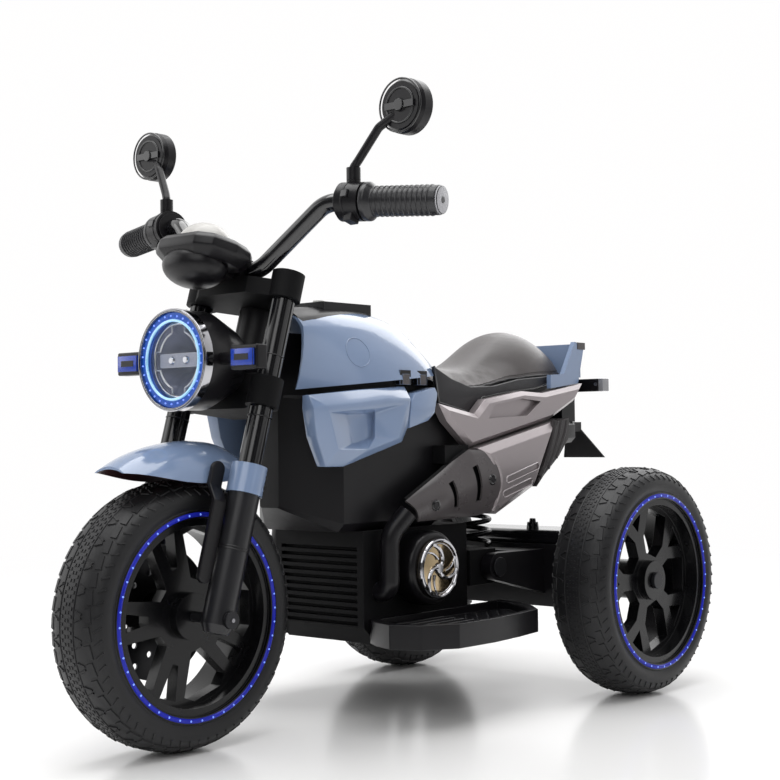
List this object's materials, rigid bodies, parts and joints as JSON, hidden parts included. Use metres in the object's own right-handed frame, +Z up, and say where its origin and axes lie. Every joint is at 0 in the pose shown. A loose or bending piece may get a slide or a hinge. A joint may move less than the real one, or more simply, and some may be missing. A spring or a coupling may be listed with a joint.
{
  "type": "kids electric motorbike",
  "caption": "Child's ride-on electric motorbike with one front wheel, paired rear wheels on a sprung arm, raked fork, lit wheels and headlight, footboards, padded saddle and mirrors.",
  "frame": {"origin": "centre of the bounding box's bottom, on the floor under the bike", "axes": "+Z up, the front of the bike toward -Y, the rider's left toward +X"},
  "size_m": [0.5414, 0.969, 0.7423],
  "materials": {
    "tyre_rubber": "matte moulded tread",
    "rim_black": "gloss black",
    "light_blue": "lit blue ring",
    "disc_steel": "brushed",
    "axle_steel": "plain",
    "black_plastic": "satin black",
    "gloss_black": "gloss black",
    "bar_black": "gloss black enamel",
    "grip_rubber": "matte",
    "pale_plastic": "satin off-white",
    "chrome_trim": "bright",
    "clear_lens": "clear",
    "mirror_face": "silvered",
    "blue_grey": "gloss blue-grey",
    "taupe": "metallic taupe",
    "shield_grey": "satin dark grey",
    "seat_skin": "satin synthetic leather",
    "lamp_grey": "translucent grey",
    "spring_steel": "black enamel"
  },
  "bodies": {
    "chassis": {"body_half_left": "black_plastic", "body_half_right": "black_plastic", "neck_tube": "axle_steel", "electrics": "black_plastic", "tank_cover": "blue_grey", "control_panel": "black_plastic", "side_panels": "blue_grey", "engine_block": "black_plastic", "clutches": "chrome_trim", "exhausts": "taupe", "heat_shields": "shield_grey", "footboard_left": "black_plastic", "footboard_right": "black_plastic", "tail_panels": "taupe", "seat_cushion": "seat_skin", "tail_cowl": "blue_grey", "rear_lamps": "black_plastic", "rear_lenses": "lamp_grey", "plate_bracket": "black_plastic", "pivot_pin": "axle_steel", "shock_spring": "spring_steel"},
    "power_button": {"power_button": "pale_plastic"},
    "direction_rocker": {"direction_rocker": "gloss_black"},
    "accelerator_pedal": {"accelerator_pedal": "black_plastic"},
    "steering": {"front_axle": "axle_steel", "fork_legs": "black_plastic", "fork_tubes": "gloss_black", "lower_yoke_stem": "black_plastic", "upper_yoke_clamp": "black_plastic", "handlebar": "bar_black", "bar_controls": "black_plastic", "hand_grips": "grip_rubber", "gauge_pod": "gloss_black", "gauge_dome": "pale_plastic", "headlight_bezel": "chrome_trim", "headlight_ring": "light_blue", "headlight_lens": "clear_lens", "headlight_reflector": "chrome_trim", "headlight_case": "gloss_black", "signal_lamps": "black_plastic", "front_fender": "blue_grey", "fender_braces": "black_plastic"},
    "mirror_left": {"mirror_body_left": "black_plastic", "mirror_glass_left": "mirror_face"},
    "mirror_right": {"mirror_body_right": "black_plastic", "mirror_glass_right": "mirror_face"},
    "front_wheel": {"front_tyre": "tyre_rubber", "front_rim": "rim_black", "brake_disc": "disc_steel", "front_light_rings": "light_blue"},
    "swing_arm": {"swing_arm": "black_plastic", "axle_drive": "gloss_black", "rear_axle": "axle_steel"},
    "rear_wheel_left": {"rear_tyre_left": "tyre_rubber", "rear_rim_left": "rim_black", "rear_light_ring_left": "light_blue"},
    "rear_wheel_right": {"rear_tyre_right": "tyre_rubber", "rear_rim_right": "rim_black", "rear_light_ring_right": "light_blue"}
  },
  "joints": [
    {"name": "steering_turn", "type": "hinge", "parent": "chassis", "child": "steering", "pos_m": [0, -0.30573, 0.14148], "axis": [0, 0.284, 0.9588], "range_deg": [-25, 25]},
    {"name": "front_wheel_spin", "type": "hinge", "parent": "steering", "child": "front_wheel", "pos_m": [0, -0.3345, 0.15], "axis": [1, 0, 0], "continuous": true},
    {"name": "swing_arm_travel", "type": "hinge", "parent": "chassis", "child": "swing_arm", "pos_m": [0, 0.1325, 0.173], "axis": [1, 0, 0], "range_deg": [0, 5], "stiffness_Nm_per_rad": 150, "springref_deg": -8.59, "deforming": ["shock_spring"]},
    {"name": "rear_left_spin", "type": "hinge", "parent": "swing_arm", "child": "rear_wheel_left", "pos_m": [0.206, 0.2911, 0.15], "axis": [1, 0, 0], "continuous": true},
    {"name": "rear_right_spin", "type": "hinge", "parent": "swing_arm", "child": "rear_wheel_right", "pos_m": [-0.206, 0.2911, 0.15], "axis": [1, 0, 0], "continuous": true},
    {"name": "mirror_left_turn", "type": "hinge", "parent": "steering", "child": "mirror_left", "pos_m": [0.15991, -0.20739, 0.63231], "axis": [0, 0, 1], "range_deg": [-20, 20]},
    {"name": "mirror_right_turn", "type": "hinge", "parent": "steering", "child": "mirror_right", "pos_m": [-0.15991, -0.20739, 0.63231], "axis": [0, 0, 1], "range_deg": [-20, 20]},
    {"name": "pedal_press", "type": "hinge", "parent": "chassis", "child": "accelerator_pedal", "pos_m": [-0.138, 0.03, 0.122], "axis": [1, 0, 0], "range_deg": [0, 11], "stiffness_Nm_per_rad": 0.5, "springref_deg": -17.19},
    {"name": "power_press", "type": "slide", "parent": "chassis", "child": "power_button", "axis": [0, 0, -1], "range_m": [0, 0.0025], "stiffness_N_per_m": 400, "springref_m": -0.002},
    {"name": "direction_tilt", "type": "hinge", "parent": "chassis", "child": "direction_rocker", "pos_m": [0, -0.06, 0.508], "axis": [1, 0, 0], "range_deg": [-12, 12]}
  ]
}
